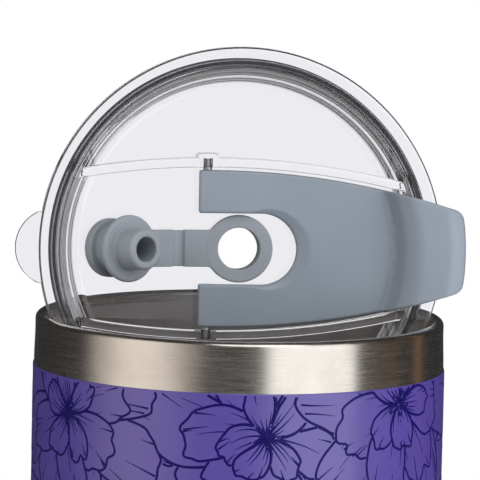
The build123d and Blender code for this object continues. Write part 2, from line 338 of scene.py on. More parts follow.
@dataclass(frozen=True)
class Finish:
    """A finish: fixed values of its shader, and the grain that breaks up its surface."""

    name: str
    colour: str
    roughness: float
    fixed: dict = field(default_factory=dict)
    second_colour: str | None = None
    mottle_mm: float = 6.0
    grain_mm: tuple[float, float, float] = (0.4, 0.4, 0.4)
    grain_depth: float = 0.0
    roughness_swing: float = 0.0

    def coordinates(self, tree: bpy.types.NodeTree, size: tuple[float, float, float]):
        """Object coordinates divided by the grain's size in each direction."""
        place = add_node(tree, "ShaderNodeTexCoord")
        scale = tuple(1 / (MM * s) for s in size)
        return add_node(
            tree, "ShaderNodeMapping", inputs={"Vector": place.outputs["Object"], "Scale": scale}
        ).outputs[0]

    def make(self) -> bpy.types.Material:
        """Build the material: mottled colour, varied roughness and a bump of the grain's size."""
        material = bpy.data.materials.new(self.name)
        material.use_nodes = True
        tree = material.node_tree
        tree.nodes.clear()
        shader = add_node(
            tree, "ShaderNodeBsdfPrincipled",
            inputs={"Base Color": linear(self.colour), "Roughness": self.roughness, **self.fixed},
        )
        grain = add_node(
            tree, "ShaderNodeTexNoise",
            inputs={"Vector": self.coordinates(tree, self.grain_mm), "Scale": 1.0, "Detail": 3.0},
        )
        if self.second_colour:
            blotch = add_node(
                tree, "ShaderNodeTexNoise",
                inputs={"Vector": self.coordinates(tree, (self.mottle_mm,) * 3), "Scale": 1.0, "Detail": 4.0},
            )
            ramp = mapped(tree, blotch.outputs[0], (0.35, 0.65))
            mix = add_node(tree, "ShaderNodeMix", {"data_type": "RGBA"}, {
                0: ramp, 6: linear(self.colour), 7: linear(self.second_colour)})
            tree.links.new(mix.outputs[2], shader.inputs["Base Color"])
        if self.roughness_swing:
            limits = (self.roughness - self.roughness_swing, self.roughness + self.roughness_swing)
            swing = mapped(tree, grain.outputs[0], (0.3, 0.7), limits)
            tree.links.new(swing, shader.inputs["Roughness"])
        if self.grain_depth:
            bump = add_node(tree, "ShaderNodeBump", inputs={
                "Height": grain.outputs[0], "Strength": 1.0, "Distance": self.grain_depth * MM})
            tree.links.new(bump.outputs[0], shader.inputs["Normal"])
        output = add_node(tree, "ShaderNodeOutputMaterial", inputs={"Surface": shader.outputs[0]})
        output.is_active_output = True
        return material


# Stainless steel 304, turned and brushed round the axis: streaks run round, so reflections smear
# up and down but stay crisp from side to side.
BRUSHED_STEEL = Finish(
    "brushed_stainless", "#D8D2CC", 0.25,
    fixed={"Metallic": 1.0, "Anisotropic": 0.6, "Anisotropic Rotation": 0.25},
    second_colour="#CEC8C1", mottle_mm=7.0, grain_mm=(9.0, 9.0, 0.16), grain_depth=0.0025,
    roughness_swing=0.06,
)
# Drawn and electropolished inside of the cup: softer, and its fine grain scatters part of the light.
SATIN_STEEL = Finish(
    "drawn_stainless", "#D6CFCB", 0.5, fixed={"Metallic": 0.5}, second_colour="#CBC3BF",
    mottle_mm=12.0, grain_mm=(7.0, 7.0, 0.3), grain_depth=0.002, roughness_swing=0.05,
)
# Polyester powder coat, sprayed and baked: satin, with a fine orange peel of about half a millimetre.
POWDER_COAT = Finish(
    "powder_coat_violet", "#48388C", 0.40, fixed={"Specular IOR Level": 0.6, "Coat Weight": 0.7,
    "Coat Roughness": 0.24}, second_colour="#4C3C92", mottle_mm=11.0, grain_mm=(0.5, 0.5, 0.5),
    grain_depth=0.012, roughness_swing=0.05,
)
# Screen ink baked into the coat: nearly as smooth as the coat, darker than it.
PATTERN_INK = Finish("baked_ink_navy", "#0E0456", 0.36, fixed={"Specular IOR Level": 0.15},
                     grain_mm=(0.5, 0.5, 0.5), roughness_swing=0.05)
# Copolyester, injection moulded in a polished tool: clear, with a faint cold tint.
CLEAR_COPOLYESTER = Finish(
    "moulded_copolyester", "#F1F1F5", 0.0, fixed={"Transmission Weight": 1.0, "IOR": 1.56},
)
# Silicone rubber, moulded in a polished tool. Its dark grey is painted shade: it stands for the dark band
# that the clear ring shows through the flange.
GASKET_PAINTED_SHADE = Finish("smoke_silicone", "#27242A", 0.3, grain_mm=(0.3, 0.3, 0.3), roughness_swing=0.04)
# ABS, injection moulded in a finely blasted tool: blue-grey and satin.
LEVER_PLASTIC = Finish(
    "moulded_abs_slate", "#858F9B", 0.34, second_colour="#818B97", mottle_mm=14.0,
    grain_mm=(0.3, 0.3, 0.3), grain_depth=0.003, roughness_swing=0.03,
)
# Silicone rubber with grey pigment: soft sheen and a dusty bloom.
GREY_SILICONE = Finish(
    "moulded_silicone_grey", "#8A9199", 0.5,
    fixed={"Sheen Weight": 0.15, "Sheen Roughness": 0.5, "Specular IOR Level": 0.4},
    second_colour="#868D95", mottle_mm=7.0, grain_mm=(0.25, 0.25, 0.25), grain_depth=0.003,
)
# Stainless wire, cut and tumbled: dull and pale.
PIN_STEEL = Finish("tumbled_wire", "#D6D7DA", 0.5, fixed={"Metallic": 1.0}, grain_mm=(0.2, 0.2, 0.2),
                   roughness_swing=0.04)
# Tin solder, cast in place and dull.
SOLDER = Finish("cast_solder", "#9A9A98", 0.55, fixed={"Metallic": 1.0}, grain_mm=(0.8, 0.8, 0.8),
                grain_depth=0.03)
# Sintered getter powder, pressed.
GETTER = Finish("sintered_getter", "#3C3B3A", 0.8, grain_mm=(0.2, 0.2, 0.2), grain_depth=0.03)


# ---------------------------------------------------------------- places


@dataclass(frozen=True)
class LidPlace:
    """The lid's own axes: U to the lever's tip, V up the lid, W out of its face."""

    centre: np.ndarray
    axes: np.ndarray

    @classmethod
    def from_frame(cls, record: dict) -> "LidPlace":
        """Read the axes from the straw hole and the plug's hinge.

        Args:
            record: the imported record.

        Returns:
            The lid's place; its centre is on the flange's face.
        """
        mounts = {mount["name"]: mount for mount in record["mounts"]}
        joints = {joint["name"]: joint for joint in record["behaviour"]["joints"]}
        out = np.array(mounts["straw_hole"]["axis"])
        up = np.array(joints["plug_fold"]["axis"])
        hole_depth = 9.0
        centre = np.array(mounts["straw_hole"]["pos_m"]) + hole_depth * MM * out
        return cls(centre, np.stack([np.cross(up, out), up, out]))

    def place(self, grid: Grid) -> Grid:
        """Move points from the lid's axes in millimetres to the frame in metres."""
        points, faces = grid
        return self.centre + MM * points @ self.axes, faces

    def point(self, u: float, v: float, w: float) -> Vector:
        """One point of the lid in the frame."""
        return Vector(self.centre + MM * np.array([u, v, w]) @ self.axes)


def finished(
    piece: bpy.types.Object, finish: Finish, body: Body | None, nodes: tuple[str, ...] = ()
) -> bpy.types.Object:
    """Give a piece its material, its body and the nodes that it stands for.

    Args:
        piece: the object.
        finish: its finish.
        body: the body it rides on, or None to leave it on no body.
        nodes: the frame's nodes that it replaces.

    Returns:
        The same object.
    """
    material = bpy.data.materials.get(finish.name) or finish.make()
    piece.data.materials.clear()
    piece.data.materials.append(material)
    if body:
        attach(piece, body.value)
    if nodes:
        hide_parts(*nodes)
    LOG.info("%s: %d faces of %s", piece.name, len(piece.data.polygons), finish.name)
    return piece


# ---------------------------------------------------------------- tumbler


@dataclass
class Tumbler:
    """Double-walled steel cup with its coat and base."""

    height: float
    body_r: float = 45.2
    rim_r: float = 45.0
    mouth_r: float = 42.5
    sheet: float = 0.6
    coat: float = 0.2
    band_h: float = 11.0
    weld_drop: float = 4.0
    straight_z: float = 100.0
    bend_r: float = 300.0
    taper: float = 6.0
    foot_r: float = 3.5
    recess_r: float = 31.8
    recess_h: float = 3.0
    floor_z: float = 9.0
    segments: int = 256

    def wall(self, inset: float, floor_z: float, corner_r: float) -> np.ndarray:
        """Section of one wall surface from the axis to where the straight side begins.

        A floor, a corner arc, a cone that leans by the taper and a large arc follow each other
        tangentially; inset moves the surface inwards from the outside of the shell.

        Args:
            inset: distance inside the shell's outer surface.
            floor_z: height of this surface's floor.
            corner_r: radius of its corner.

        Returns:
            n x 2 array of (radius, height).
        """
        lean = math.radians(self.taper)
        radius = self.bend_r - inset
        bend_centre = np.array([self.body_r - self.bend_r, self.straight_z])
        cone_top = bend_centre + radius * np.array([math.cos(lean), -math.sin(lean)])
        foot_z = floor_z + corner_r * (1 - math.sin(lean))
        foot_out = cone_top[0] - (cone_top[1] - foot_z) * math.tan(lean)
        corner = np.array([foot_out - corner_r * math.cos(lean), floor_z + corner_r])
        turn = np.linspace(-math.pi / 2, -lean, 12)
        corner_arc = corner + corner_r * on_circle(turn)
        rise = np.linspace(0, 1, 14)[1:, None]
        cone = corner_arc[-1] + (cone_top - corner_arc[-1]) * rise
        sweep = np.linspace(-lean, 0, 10)[1:]
        bend = bend_centre + radius * on_circle(sweep)
        return np.vstack([[0, floor_z], corner_arc, cone, bend])

    def lip(self, radius: float, first: float, last: float) -> np.ndarray:
        """Arc over the rolled lip, from one angle to another in degrees."""
        centre = np.array([(self.mouth_r + self.rim_r) / 2, self.height - (self.rim_r - self.mouth_r) / 2])
        turn = np.radians(np.linspace(first, last, 16))
        return centre + radius * on_circle(turn)

    def liner(self) -> bpy.types.Object:
        """Inner cup up to the bend of its lip."""
        gap = self.body_r - self.mouth_r
        lip_z = self.height - (self.rim_r - self.mouth_r) / 2
        floor = corner = self.floor_z
        inside = self.wall(gap, floor, corner)
        outside = self.wall(gap - self.sheet, floor - self.sheet, corner + self.sheet)
        top = [[self.mouth_r, lip_z], [self.mouth_r + self.sheet, lip_z]]
        section = np.vstack([inside, top, outside[::-1]])
        return self.spun("steel_liner", section)

    def rolled_lip(self) -> bpy.types.Object:
        """The liner's lip, rolled over and brought down to the weld, brushed with the band."""
        lip_r = (self.rim_r - self.mouth_r) / 2
        weld_z = self.height - self.weld_drop
        low = self.lip(lip_r, 180, 0)[0, 1] - 1.2
        section = np.vstack([
            [[self.mouth_r - 0.01, low]], self.lip(lip_r, 180, 0),
            [[self.rim_r, weld_z], [self.rim_r - self.sheet, weld_z]],
            self.lip(lip_r - self.sheet, 0, 180), [[self.mouth_r + self.sheet, low]],
        ])
        return self.spun("steel_rolled_lip", section)

    def shell(self) -> bpy.types.Object:
        """Outer wall from the weld under the lip to the recess in the foot."""
        weld_z, band_z = self.height - self.weld_drop, self.height - self.band_h
        outside = self.wall(0, 0, self.foot_r)[1:]
        inside = self.wall(self.sheet, self.sheet, self.foot_r - self.sheet)[1:]
        recess = self.recess_r
        section = np.vstack([
            [[recess, self.recess_h], [recess, 0.3], [recess + 0.1, 0.1], [recess + 0.3, 0]], outside,
            [[self.body_r, band_z], [self.body_r - 0.04, band_z + 2.5], [self.rim_r, weld_z],
             [self.rim_r - self.sheet, weld_z], [self.body_r - self.sheet, band_z]], inside[::-1],
            [[recess + self.sheet, self.sheet], [recess + self.sheet, self.recess_h]],
        ])
        return self.spun("steel_shell_and_band", section)

    def coating(self) -> bpy.types.Object:
        """Powder coat with a soft edge under the bare band and above the foot."""
        band_z = self.height - self.band_h
        outside = self.wall(-self.coat, -self.coat, self.foot_r + self.coat)[4:]
        inside = self.wall(0, 0, self.foot_r)[4:]
        edge = self.body_r + self.coat
        section = np.vstack([
            outside, [[edge, band_z - 0.22], [edge - 0.05, band_z - 0.08], [edge - 0.14, band_z],
                      [self.body_r, band_z]], inside[::-1],
        ])
        return self.spun("powder_coat_skin", section)

    def cover(self) -> bpy.types.Object:
        """Cap over the bottom, with a rounded edge at its seam."""
        edge, top = self.recess_r - 0.3, self.recess_h - self.sheet
        wall_in = edge - self.sheet
        section = rounded([
            (0, self.sheet, 0), (wall_in, self.sheet, 0.2), (wall_in, top, 0.1), (edge, top, 0.1),
            (edge, 0, 0.5), (0, 0, 0),
        ])
        return self.spun("steel_base_cap", section)

    def spun(self, name: str, section: np.ndarray) -> bpy.types.Object:
        """Turn a section in millimetres into a piece of the cup in metres."""
        points, faces = turned(section, self.segments)
        return add_mesh(name, (points * MM, faces))

    def coat_radius(self, height: np.ndarray) -> np.ndarray:
        """Radius of the coat's surface at some heights, read off its section."""
        section = self.wall(-self.coat, -self.coat, self.foot_r + self.coat)[1:]
        return np.interp(height, section[:, 1], section[:, 0])

    def build(self) -> None:
        """Make and dress every piece that stays with the cup."""
        finished(self.liner(), SATIN_STEEL, Body.TUMBLER, ("inner_liner",))
        finished(self.rolled_lip(), BRUSHED_STEEL, Body.TUMBLER)
        finished(self.shell(), BRUSHED_STEEL, Body.TUMBLER, ("outer_shell",))
        finished(self.coating(), POWDER_COAT, Body.TUMBLER, ("powder_coat",))
        finished(self.cover(), BRUSHED_STEEL, Body.TUMBLER, ("base_cover",))
        for node, finish in (("vacuum_bottom", SATIN_STEEL), ("seal_pellet", SOLDER), ("getter", GETTER)):
            inner = frame["nodes"][node]
            inner.data.materials.clear()
            inner.data.materials.append(bpy.data.materials.get(finish.name) or finish.make())


# ---------------------------------------------------------------- printed flowers


@dataclass
class Stroke:
    """One line of the drawing: its points on the unrolled coat and its width at each point."""

    points: np.ndarray
    width: np.ndarray


@dataclass
class Shape:
    """A petal or leaf: the closed edge that hides what is behind it, and its strokes."""

    edge: np.ndarray
    strokes: list[Stroke]


@dataclass
class FlowerPrint:
    """Line drawing of overlapping blooms, wrapped round the coat as thin raised ribbons of ink.

    The drawing lies on the unrolled coat: s runs round it and z up it, both in millimetres.
    """

    cup: Tumbler
    pitch: float = 42.0
    low_z: float = 7.0
    line: float = 0.70
    vein: float = 0.42
    proud: float = 0.035
    step: float = 0.6
    row_share: float = 0.86
    first_row: float = 0.18
    leaf_away: float = 13.0
    sectors: int = 4
    seed: int = 23

    def __post_init__(self) -> None:
        """Work out the unrolled width and start the random draws."""
        self.radius = self.cup.body_r + self.cup.coat
        self.around = 2 * math.pi * self.radius
        self.high_z = self.cup.height - self.cup.band_h - 0.24
        self.draw = np.random.default_rng(self.seed)

    def bent(self, along: np.ndarray, across: np.ndarray, length: float, bend: float, place: np.ndarray,
             heading: float) -> np.ndarray:
        """Bend a shape's axis, then turn and move it.

        A point at distance a along the axis turns by bend x a / length about the root, so the axis
        becomes a spiral arc.
        """
        turn = heading + bend * along / length
        return place + np.stack(
            [along * np.cos(turn) - across * np.sin(turn), along * np.sin(turn) + across * np.cos(turn)], -1
        )

    def breadth(self, share: np.ndarray, width: float, root: float) -> np.ndarray:
        """Half width of a petal at a share of its length: 2 w sqrt(t (1 - t)) t^root."""
        held = np.clip(share, 0, 1)
        return 2 * width * np.sqrt(held * (1 - held)) * held**root

    def petal(self, place: np.ndarray, heading: float, length: float, width: float) -> Shape:
        """Petal with a narrow root, a ruffled tip, tapering veins and creases at the tip.

        Args:
            place: its root.
            heading: direction of its axis.
            length: root to tip.
            width: half of its greatest width.

        Returns:
            The petal.
        """
        draw = self.draw
        bend = draw.uniform(-0.45, 0.45)
        root = draw.uniform(0.25, 0.6)
        around = np.linspace(-math.pi, math.pi, 90)
        share = (1 + np.cos(around)) / 2
        along = length * share
        across = np.sign(around) * self.breadth(share, width, root)
        ruffle = sum(
            size * np.sin(count * around + draw.uniform(0, 2 * math.pi))
            for count, size in ((5, 0.035), (9, 0.022), (14, 0.012))
        )
        notch = draw.uniform(0.0, 0.10) * np.exp(-((around - draw.uniform(-0.3, 0.3)) / 0.16) ** 2)
        swell = 1 + (ruffle - notch) * share**1.5
        edge = self.bent(along * swell, across * swell, length, bend, place, heading)
        weight = self.line * (0.85 + 0.7 * (1 - share) ** 3)
        strokes = [Stroke(edge, weight)]
        for lane in np.linspace(-0.72, 0.72, draw.integers(4, 7)):
            lane = lane + draw.uniform(-0.08, 0.08)
            reach = draw.uniform(0.35, 0.85) * (1 - 0.35 * abs(lane))
            first = draw.uniform(0.02, 0.08)
            part = np.linspace(first, reach, 26)
            wander = 0.02 * width * np.sin(6 * part + draw.uniform(0, 6))
            across = lane * self.breadth(part, width, root) + wander
            path = self.bent(length * part, across, length, bend, place, heading)
            strokes.append(Stroke(path, self.vein * (1.35 - 1.1 * np.linspace(0, 1, 26))))
        for _ in range(draw.integers(2, 5)):
            angle = draw.uniform(-0.9, 0.9)
            outer = (1 + math.cos(angle)) / 2
            part = np.linspace(0.985, 1 - draw.uniform(0.12, 0.32), 14)
            side = math.copysign(1, angle) * self.breadth(np.array([outer]), width, root)
            hook = 0.06 * width * draw.uniform(-1, 1) * np.linspace(0, 1, 14) ** 2
            path = self.bent(length * outer * part, side * part + hook, length, bend, place, heading)
            strokes.append(Stroke(path, self.vein * (1.2 - np.linspace(0, 1, 14))))
        return Shape(edge, strokes)

    def leaf(self, place: np.ndarray, heading: float, length: float) -> Shape:
        """Pointed leaf with a midrib and side veins that curve towards its tip."""
        draw = self.draw
        bend = draw.uniform(-0.6, 0.6)
        width = length * draw.uniform(0.17, 0.24)
        share = np.concatenate([np.linspace(0, 1, 40), np.linspace(1, 0, 40)])
        side = np.repeat([1.0, -1.0], 40)
        across = side * width * np.sin(math.pi * share) ** 0.8
        edge = self.bent(length * share, across, length, bend, place, heading)
        strokes = [Stroke(edge, np.full(80, self.line))]
        rib = np.linspace(0, 0.97, 36)
        strokes.append(Stroke(self.bent(length * rib, 0 * rib, length, bend, place, heading),
                              self.line * (1.1 - 0.8 * rib)))
        for start in np.arange(0.16, 0.85, 0.13):
            for way in (1, -1):
                out = np.linspace(0, 0.82, 12)
                part = start + 0.14 * out**0.8
                across = way * out * width * np.sin(math.pi * np.clip(part, 0, 1)) ** 0.8
                path = self.bent(length * part, across, length, bend, place, heading)
                strokes.append(Stroke(path, self.vein * (1.1 - np.linspace(0, 0.9, 12))))
        return Shape(edge, strokes)

    def stamens(self, place: np.ndarray) -> list[Shape]:
        """Curved threads with round heads at a bloom's middle."""
        threads = []
        for heading in np.linspace(0, 2 * math.pi, 6)[:-1] + self.draw.uniform(0, 1):
            length = self.draw.uniform(2.2, 3.4)
            part = np.linspace(0.15, 1, 10)
            path = self.bent(length * part, 0 * part, length, 0.7, place, heading)
            ring = np.linspace(0, 2 * math.pi, 14)
            head = path[-1] + 0.42 * on_circle(ring)
            lines = [Stroke(line, np.full(len(line), self.vein)) for line in (head, path)]
            threads.append(Shape(head, lines))
        return threads

    def bloom(self, place: np.ndarray) -> list[Shape]:
        """Three rings of petals, front ones first, each ring longer than the last."""
        shapes = self.stamens(place)
        size = self.draw.uniform(0.88, 1.15)
        start = self.draw.uniform(0, 2 * math.pi)
        for count, length, width in ((5, 11.0, 4.6), (6, 19.0, 7.6), (7, 28.0, 10.2)):
            order = self.draw.permutation(count)
            for index in order:
                heading = start + 2 * math.pi * (index + self.draw.uniform(-0.16, 0.16)) / count
                long = size * length * self.draw.uniform(0.88, 1.12)
                wide = size * width * self.draw.uniform(0.85, 1.12)
                shapes.append(self.petal(place, heading, long, wide))
            start += math.pi / count + self.draw.uniform(-0.1, 0.1)
        return shapes

    def shapes(self) -> list[Shape]:
        """All shapes, front ones first: blooms on a shifted grid, then leaves in the gaps."""
        columns = round(self.around / self.pitch)
        rows = math.ceil(self.high_z / (self.row_share * self.pitch)) + 1
        spots = []
        for row in range(rows):
            for column in range(columns):
                s = (column + 0.5 * (row % 2) + self.draw.uniform(-0.16, 0.16)) * self.around / columns
                drop = (row + self.draw.uniform(-0.14, 0.14)) * self.row_share * self.pitch
                z = self.high_z - drop - self.first_row * self.pitch
                spots.append(np.array([s, z]))
        made = []
        for index in self.draw.permutation(len(spots)):
            made += self.bloom(spots[index])
        for spot in spots:
            for _ in range(3):
                heading = self.draw.uniform(0, 2 * math.pi)
                away = self.leaf_away * np.array([math.cos(heading), math.sin(heading)])
                lean, length = self.draw.uniform(-0.3, 0.3), self.draw.uniform(15, 21)
                made.append(self.leaf(spot + away, heading + lean, length))
        return made

    def resampled(self, stroke: Stroke) -> Stroke:
        """Spread a stroke's points evenly along it."""
        length = np.concatenate([[0], np.cumsum(np.linalg.norm(np.diff(stroke.points, axis=0), axis=1))])
        count = max(4, int(length[-1] / self.step) + 1)
        even = np.linspace(0, length[-1], count)
        points = np.column_stack([np.interp(even, length, stroke.points[:, axis]) for axis in (0, 1)])
        return Stroke(points, np.interp(even, length, stroke.width))

    def covered(self, points: np.ndarray, edge: np.ndarray) -> np.ndarray:
        """Whether points lie inside an edge: a ray to the right crosses it an odd number of times."""
        x, y = points[:, 0, None], points[:, 1, None]
        x0, y0 = edge[:, 0], edge[:, 1]
        x1, y1 = np.roll(x0, -1), np.roll(y0, -1)
        spans = (y0 > y) != (y1 > y)
        rise = np.where(y1 == y0, 1, y1 - y0)
        crossing = x0 + (y - y0) * (x1 - x0) / rise
        return (spans & (x < crossing)).sum(1) % 2 == 1

    def visible(self) -> list[Stroke]:
        """Strokes with what earlier shapes hide taken out, and with only what lies on the coat."""
        made = self.shapes()
        middles = np.array([shape.edge.mean(0) for shape in made])
        reaches = np.array([np.ptp(shape.edge, axis=0).max() / 2 + 1 for shape in made])
        runs = []
        for index, shape in enumerate(made):
            strokes = [self.resampled(stroke) for stroke in shape.strokes]
            points = np.vstack([stroke.points for stroke in strokes])
            widths = np.concatenate([stroke.width for stroke in strokes])
            shown = (points[:, 1] > self.low_z) & (points[:, 1] < self.high_z)
            offset = middles[index] - middles[:index]
            wraps = np.round(offset[:, 0] / self.around)
            gap = np.hypot(offset[:, 0] - wraps * self.around, offset[:, 1])
            for other in np.flatnonzero(gap < 1.5 * (reaches[:index] + reaches[index])):
                edge = made[other].edge + np.array([wraps[other] * self.around, 0])
                shown &= ~self.covered(points, edge)
            ends = np.cumsum([len(stroke.points) for stroke in strokes])
            group = np.searchsorted(ends, np.arange(len(points)), side="right")
            breaks = np.flatnonzero((np.diff(shown.astype(int)) != 0) | (np.diff(group) != 0)) + 1
            for piece in np.split(np.arange(len(points)), breaks):
                if len(piece) > 2 and shown[piece[0]]:
                    runs.append(Stroke(points[piece], widths[piece]))
        return runs

    def ribbon(self, run: Stroke) -> Grid:
        """Low bar along a stroke, flat on top with sloping sides, closed at both ends."""
        along = np.gradient(run.points, axis=0)
        along /= np.maximum(np.linalg.norm(along, axis=1), 1e-9)[:, None]
        across = np.column_stack([-along[:, 1], along[:, 0]])
        half = np.maximum(run.width, 0.12)[:, None, None] / 2
        share = np.array([-1, -0.8, 0.8, 1])[None, :, None]
        plan = run.points[:, None] + half * share * across[:, None]
        height = np.array([-0.02, self.proud, self.proud, -0.02])
        angle = plan[..., 0] / self.radius - math.pi / 2
        radius = self.cup.coat_radius(plan[..., 1]) + height
        points = np.stack([radius * np.cos(angle), radius * np.sin(angle), plan[..., 1]], -1)
        rows = len(run.points)
        ends = np.vstack([np.arange(4)[::-1], (rows - 1) * 4 + np.arange(4)])
        return points.reshape(-1, 3), [loop_faces(rows, 4, False, True), ends]

    def build(self) -> None:
        """Draw, wrap and dress the print, one piece for each sector of the coat."""
        runs = self.visible()
        middles = [run.points[:, 0].mean() for run in runs]
        sector = np.array([int(middle / self.around * self.sectors) % self.sectors for middle in middles])
        for number in range(self.sectors):
            grids = [self.ribbon(runs[index]) for index in np.flatnonzero(sector == number)]
            firsts = np.cumsum([0] + [len(points) for points, _ in grids])
            points = np.vstack([points for points, _ in grids])
            faces = [group + first for (_, groups), first in zip(grids, firsts) for group in groups]
            piece = add_mesh(f"printed_flowers_{number}", (points * MM, faces), 60)
            finished(piece, PATTERN_INK, Body.TUMBLER)


# ---------------------------------------------------------------- lid


@dataclass
class ClearLid:
    """Moulded lid: flange, dish, skirt, ribs, tab and openings, in the lid's own axes."""

    at: LidPlace
    flange_r: float = 44.69
    flange_t: float = 2.0
    dish_top_r: float = 40.0
    dish_mid_r: float = 38.3
    dish_mid_w: float = -5.3
    dish_low_r: float = 36.9
    floor_w: float = -10.4
    floor_t: float = 2.1
    skirt_r: float = 41.6
    groove_r: float = 40.7
    groove_w: tuple[float, float] = (-5.0, -8.6)
    relief_r: tuple[float, float] = (38.5, 40.3)
    relief_h: float = 3.0
    lead_in: float = 1.3
    rib_r: float = 175.0
    rib_centre_u: float = -5.0
    rib_half: float = 18.0
    rib_t: float = 2.15
    rib_top_w: float = -3.0
    hinge: tuple[float, float] = (-7.2, -5.7)
    pin_hole_r: float = 1.05
    waist_r: float = 5.6
    boss_r: float = 7.35
    boss_w: float = -7.25
    drink_u: float = 28.5
    drink: tuple[float, float] = (7.0, 14.0)

    def disc(self) -> Grid:
        """Flange, dish and skirt as one turned section with moulded radii."""
        back = self.floor_w - self.floor_t
        top_w, low_w = self.groove_w
        section = rounded([
            (0, self.floor_w, 0), (self.dish_low_r - 0.3, self.floor_w, 2.0),
            (self.dish_mid_r, self.dish_mid_w, 6.0), (self.dish_top_r, 0, 0.45), (self.flange_r, 0, 0.8),
            (self.flange_r, -self.flange_t, 0.4), (self.skirt_r, -self.flange_t, 0.3),
            (self.skirt_r, top_w, 0.1), (self.groove_r, top_w, 0.15), (self.groove_r, low_w, 0.15),
            (self.skirt_r, low_w, 0.1), (self.skirt_r, back + self.lead_in, 0.2),
            (self.skirt_r - self.lead_in, back, 0.1), (0, back, 0),
        ])
        return turned(section, 288)

    def rib(self, side: int) -> Grid:
        """One curved rib: a strip between two arcs, its top edges rounded off layer by layer.

        The inner face is an arc of radius rib_r that bulges away from the channel; the strip's ends
        stay inside the dish wall.
        """
        edge, reach = 0.55, 39.4
        roll = np.radians(np.linspace(0, 90, 5))
        heights = np.concatenate([[self.floor_w - 0.5], self.rib_top_w - edge * (1 - np.sin(roll))])
        insets = np.concatenate([[0], edge * (1 - np.cos(roll))])
        centre_v = self.rib_half - self.rib_r

        def arc(radius: float) -> np.ndarray:
            """Part of one arc that lies within reach of the lid's middle."""
            u = np.linspace(-50, 50, 400)
            v = centre_v + np.sqrt(radius**2 - (u - self.rib_centre_u) ** 2)
            inside = u[np.hypot(u, v) < reach]
            u = np.linspace(inside[0], inside[-1], 49)
            return np.column_stack([u, centre_v + np.sqrt(radius**2 - (u - self.rib_centre_u) ** 2)])

        plans = [
            np.vstack([arc(self.rib_r + inset), arc(self.rib_r + self.rib_t - inset)[::-1]])
            for inset in insets
        ]
        outline = np.stack(plans)
        outline[..., 1] *= side
        return stacked(outline, heights)

    def rod(self, radius: float, u: float, w: float, low_v: float, high_v: float) -> Grid:
        """Round rod along V."""
        points, faces = turned(np.array([(0, low_v), (radius, low_v), (radius, high_v), (0, high_v)]), 48)
        return points[:, [0, 2, 1]] + np.array([u, 0, w]), faces

    def tab(self) -> Grid:
        """Pull tab: a plate with a round end that runs under the flange's edge."""
        end_r, half, tip = 8.7, 7.9, -49.78
        limit = math.asin(half / end_r)
        turn = np.linspace(math.pi - limit, math.pi + limit, 40)
        end = np.array([tip + end_r, 0]) + end_r * on_circle(turn)
        centre = np.array([-42.5, 0])
        root = np.array([(-42.0, -half), (-42.0, half)])
        outline = np.vstack([end, root])
        layers = [
            (0.95, -self.flange_t + 0.1), (1.0, -self.flange_t + 0.5), (1.0, -0.75), (0.98, -0.5),
            (0.95, -0.4),
        ]
        plans = np.stack([centre + (outline - centre) * scale for scale, _ in layers])
        return stacked(plans, np.array([height for _, height in layers]))

    def pin_v(self) -> float:
        """Distance of a rib's inner face from the lid's middle at the pins."""
        return self.rib_half - (self.hinge[0] - self.rib_centre_u) ** 2 / (2 * self.rib_r)

    def tools(self) -> list[tuple[Cut, Grid]]:
        """Everything that is joined to the disc or cut out of it, in order."""
        floor, back = self.floor_w, self.floor_w - self.floor_t
        u, w = self.hinge
        relief_in, relief_out = self.relief_r
        relief_top = back + self.relief_h
        made = [(Cut.JOIN, self.tab())]
        for side in (1, -1):
            made.append((Cut.JOIN, self.rib(side)))
            middle = side * (self.pin_v() + 1.7)
            made.append((Cut.JOIN, pile([(4.8, 3.1, 1.0, floor - 0.4), (4.8, 3.1, 1.0, self.rib_top_w - 0.3),
                                         (4.3, 2.6, 0.8, self.rib_top_w)], (u, middle))))
        made.append((Cut.JOIN, turned(rounded([(0, floor - 0.4, 0), (self.boss_r, floor - 0.4, 0),
                                               (self.boss_r, self.boss_w, 0.4), (0, self.boss_w, 0)]), 96)))
        made.append((Cut.REMOVE, turned(closed_outline([
            (relief_in, back - 1, 0), (relief_out, back - 1, 0), (relief_out, relief_top, 0.3),
            (relief_in, relief_top, 0.3)]), 288)))
        straw_hole = [
            (0, back - 1), (self.waist_r, back - 1), (self.waist_r, self.boss_w + 1), (0, self.boss_w + 1),
        ]
        made.append((Cut.REMOVE, turned(np.array(straw_hole), 96)))
        drink = [(*self.drink, 2.5, back - 1), (*self.drink, 2.5, floor + 1)]
        made.append((Cut.REMOVE, pile(drink, (self.drink_u, 0))))
        vent = turned(np.array([(0, back - 1), (0.8, back - 1), (0.8, floor + 1), (0, floor + 1)]), 32)
        made.append((Cut.REMOVE, (vent[0] + np.array([19.0, 0, 0]), vent[1])))
        for side in (1, -1):
            low, high = sorted((side * (self.pin_v() - 1), side * (self.pin_v() + 2)))
            made.append((Cut.REMOVE, self.rod(self.pin_hole_r, u, w, low, high)))
        return made

    def gasket(self) -> Grid:
        """Silicone ring with two sealing fins, in the skirt's groove."""
        top_w, low_w = self.groove_w[0] - 0.05, self.groove_w[1] + 0.05
        root, body, fin = self.groove_r + 0.05, self.skirt_r - 0.1, 42.2
        corners = [(root, top_w, 0.1), (body, top_w, 0.1)]
        for middle in (top_w - 0.9, low_w + 0.9):
            corners += [(body, middle + 0.6, 0.2), (fin, middle + 0.15, 0.15), (fin, middle - 0.15, 0.15),
                        (body, middle - 0.6, 0.2)]
        corners += [(body, low_w, 0.1), (root, low_w, 0.1)]
        return turned(closed_outline(corners, 4), 256)

